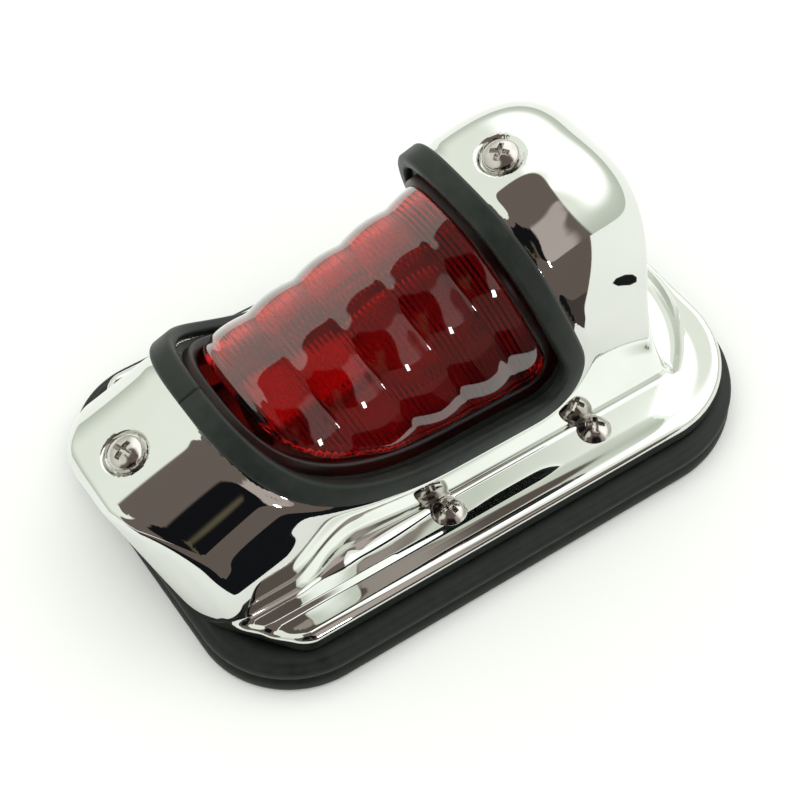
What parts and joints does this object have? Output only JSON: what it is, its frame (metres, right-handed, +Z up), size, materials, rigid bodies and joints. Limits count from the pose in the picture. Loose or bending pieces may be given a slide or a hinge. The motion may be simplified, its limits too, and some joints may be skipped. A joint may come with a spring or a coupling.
{
  "type": "motorcycle tail light",
  "caption": "Chrome fender-mounted tail light with a ribbed red lens, black rubber trim and pad, inner bulb socket and a clear number plate window.",
  "frame": {"origin": "underside of the rubber pad, on the centre line, 2.5 mm towards the deep end from the pad's middle", "axes": "+Z up from the fender, +X along the light towards the deep end with the number plate window, Y across"},
  "size_m": [0.1754, 0.11, 0.0878],
  "materials": {
    "rubber": "matt black moulded rubber",
    "zinc_steel": "zinc plated",
    "chrome": "bright chrome plate",
    "red_plastic": "clear red moulded acrylic",
    "bright_screw": "bright plated screw",
    "clear_plastic": "clear moulded acrylic",
    "spring_steel": "plain spring steel",
    "brass": "plain brass",
    "aluminium": "plain",
    "fibre": "brown insulating board",
    "solder": "dull solder",
    "glass": "clear glass",
    "tungsten": "drawn wire"
  },
  "bodies": {
    "light": {"mounting_gasket": "rubber", "base_plate": "zinc_steel", "housing": "chrome", "lens_trim": "rubber", "red_lens": "red_plastic", "lens_seal": "rubber", "nose_screw": "bright_screw", "crown_screw": "bright_screw", "side_screws": "bright_screw", "nose_post": "zinc_steel", "crown_post": "zinc_steel", "mounting_nuts": "zinc_steel", "wire_grommet": "rubber", "window_seal": "rubber", "plate_window": "clear_plastic", "window_clips": "spring_steel", "socket_shell": "brass", "socket_bracket": "zinc_steel", "bracket_rivets": "aluminium", "contact_spring": "spring_steel"},
    "bulb": {"bulb_cap": "brass", "bulb_insulator": "fibre", "bulb_contacts": "solder", "bulb_glass": "glass", "bulb_stem": "glass", "bulb_filaments": "tungsten", "filament_supports": "tungsten"},
    "contact_carrier": {"contact_disc": "fibre", "contact_pads": "brass"}
  },
  "joints": [
    {"name": "bulb_press", "type": "slide", "parent": "light", "child": "bulb", "axis": [-1, 0, 0], "range_m": [0, 0.002], "stiffness_N_per_m": 900, "springref_m": -0.004},
    {"name": "carrier_slide", "type": "slide", "parent": "light", "child": "contact_carrier", "axis": [-1, 0, 0], "range_m": [0, 0.002], "deforming": ["contact_spring"]}
  ],
  "couplings": [
    {"joint": "carrier_slide", "follows": "bulb_press", "ratio": 1}
  ]
}
